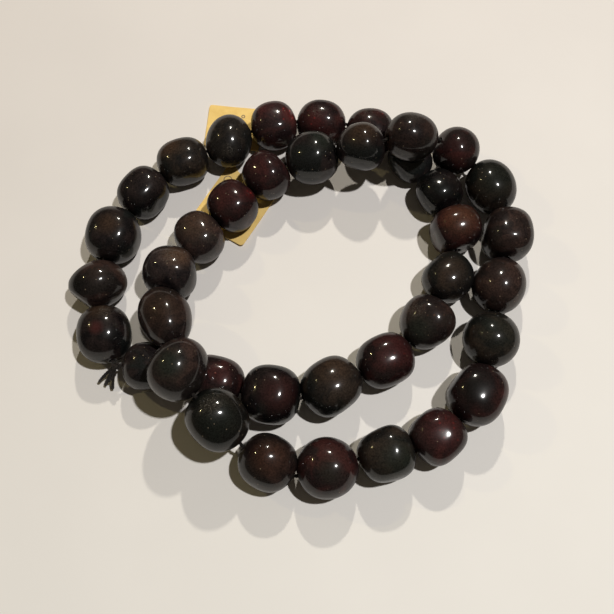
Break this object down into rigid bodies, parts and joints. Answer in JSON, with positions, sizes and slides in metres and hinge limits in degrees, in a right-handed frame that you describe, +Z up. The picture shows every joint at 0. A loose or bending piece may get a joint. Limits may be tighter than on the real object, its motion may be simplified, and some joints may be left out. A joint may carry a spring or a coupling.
{
  "type": "garnet nugget bead strands",
  "caption": "Tied strands of tumbled, near-spherical garnet nugget beads on thin dark cord, laid in loops one over the other with a small card tag under them",
  "frame": {"origin": "on the table plane, under the middle of the whole (centre of the bounding box's bottom face)", "axes": "+Z up from the table, +X along the longest extent (the picture's left to right), +Y away from the camera (the picture's bottom to top)"},
  "size_m": [0.0848, 0.0778, 0.0173],
  "materials": {
    "garnet_black": "high polish, near black with a few red sparks",
    "garnet_brown": "high polish, dark brown with fine grain",
    "garnet_red": "high polish, dark wine red with lighter red sparkles",
    "garnet_olive": "high polish, green-black to olive with fine grain",
    "cord": "thin twisted dark brown thread, matt, cut ends paler",
    "tag_card": "matt buff-yellow card with faint fibre and soft worn edges"
  },
  "bodies": {
    "root": {"bead_01": "garnet_black", "bead_02": "garnet_brown", "bead_03": "garnet_black", "bead_04": "garnet_black", "bead_05": "garnet_olive", "bead_06": "garnet_olive", "bead_07": "garnet_red", "bead_08": "garnet_red", "bead_09": "garnet_red", "bead_10": "garnet_black", "bead_11": "garnet_black", "bead_12": "garnet_red", "bead_13": "garnet_olive", "bead_14": "garnet_brown", "bead_15": "garnet_red", "bead_16": "garnet_olive", "bead_17": "garnet_black", "bead_18": "garnet_red", "bead_19": "garnet_black", "bead_20": "garnet_brown", "bead_21": "garnet_brown", "bead_22": "garnet_black", "bead_23": "garnet_brown", "bead_24": "garnet_red", "bead_25": "garnet_red", "bead_26": "garnet_black", "bead_27": "garnet_black", "bead_28": "garnet_brown", "bead_29": "garnet_red", "bead_30": "garnet_olive", "bead_31": "garnet_brown", "bead_32": "garnet_brown", "bead_33": "garnet_olive", "bead_34": "garnet_red", "bead_35": "garnet_red", "bead_36": "garnet_olive", "bead_37": "garnet_red", "bead_38": "garnet_brown", "bead_39": "garnet_olive", "cord_lower": "cord", "cord_upper": "cord", "tag": "tag_card"}
  },
  "joints": []
}
